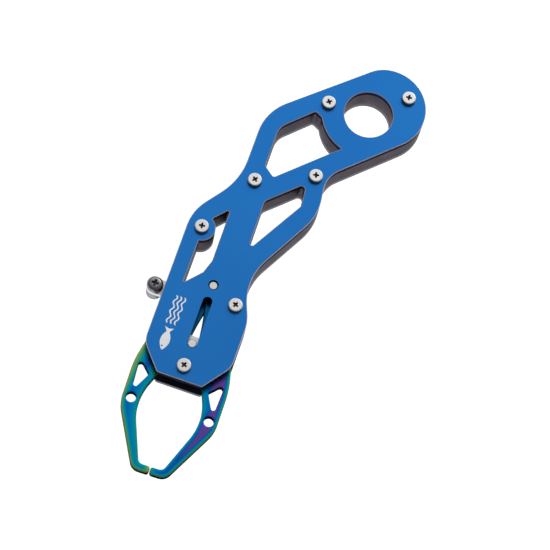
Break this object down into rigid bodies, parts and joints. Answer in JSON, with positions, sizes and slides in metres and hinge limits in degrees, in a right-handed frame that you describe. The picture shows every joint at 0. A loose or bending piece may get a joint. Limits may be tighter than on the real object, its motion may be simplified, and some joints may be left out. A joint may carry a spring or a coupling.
{
  "type": "fish lip grip",
  "caption": "Fish lip grip with two hinged hook jaws, a pull-back trigger post on a slide, and a slim windowed handle with a finger ring and bottle opener.",
  "frame": {"origin": "centre of the finger ring on the rear face", "axes": "+Z out of the front face, +X along the slide slot away from the jaws, +Y towards the trigger post"},
  "size_m": [0.2037, 0.0871, 0.0162],
  "materials": {
    "blue_anodised": "satin anodised aluminium",
    "dark_core": "satin",
    "screw_steel": "satin",
    "bush_steel": "satin",
    "pin_steel": "satin",
    "spring_steel": "satin",
    "chrome": "polished",
    "rainbow_titanium": "polished heat-coloured coating"
  },
  "bodies": {
    "body": {"front_plate": "blue_anodised", "rear_plate": "blue_anodised", "core_frame": "dark_core", "pivot_bush": "bush_steel", "rear_spacer": "bush_steel", "hub_shim": "bush_steel", "front_spacer": "bush_steel", "pivot_screw": "screw_steel", "body_screw_1": "screw_steel", "body_screw_2": "screw_steel", "body_screw_3": "screw_steel", "body_screw_4": "screw_steel", "body_screw_5": "screw_steel", "body_screw_6": "screw_steel", "spring_post": "pin_steel", "torsion_spring": "spring_steel"},
    "trigger": {"slider_plate": "pin_steel", "drive_pin": "pin_steel", "trigger_sleeve": "pin_steel", "trigger_collar": "pin_steel", "trigger_screw": "chrome"},
    "jaw_left": {"left_jaw": "rainbow_titanium"},
    "jaw_right": {"right_jaw": "rainbow_titanium"}
  },
  "joints": [
    {"name": "trigger_slide", "type": "slide", "parent": "body", "child": "trigger", "axis": [1, 0, 0], "range_m": [0, 0.01938], "stiffness_N_per_m": 400, "springref_m": -0.01, "deforming": ["torsion_spring"]},
    {"name": "left_jaw_hinge", "type": "hinge", "parent": "body", "child": "jaw_left", "pos_m": [-0.1339, 0.0373, 0.0071], "axis": [0, 0, 1], "range_deg": [-5.5, 0]},
    {"name": "right_jaw_hinge", "type": "hinge", "parent": "body", "child": "jaw_right", "pos_m": [-0.1339, 0.0373, 0.0071], "axis": [0, 0, 1], "range_deg": [0, 5.5]}
  ],
  "couplings": [
    {"joint": "left_jaw_hinge", "follows": "trigger_slide", "rad_per_m": -4.9532},
    {"joint": "right_jaw_hinge", "follows": "trigger_slide", "rad_per_m": 4.9532}
  ]
}
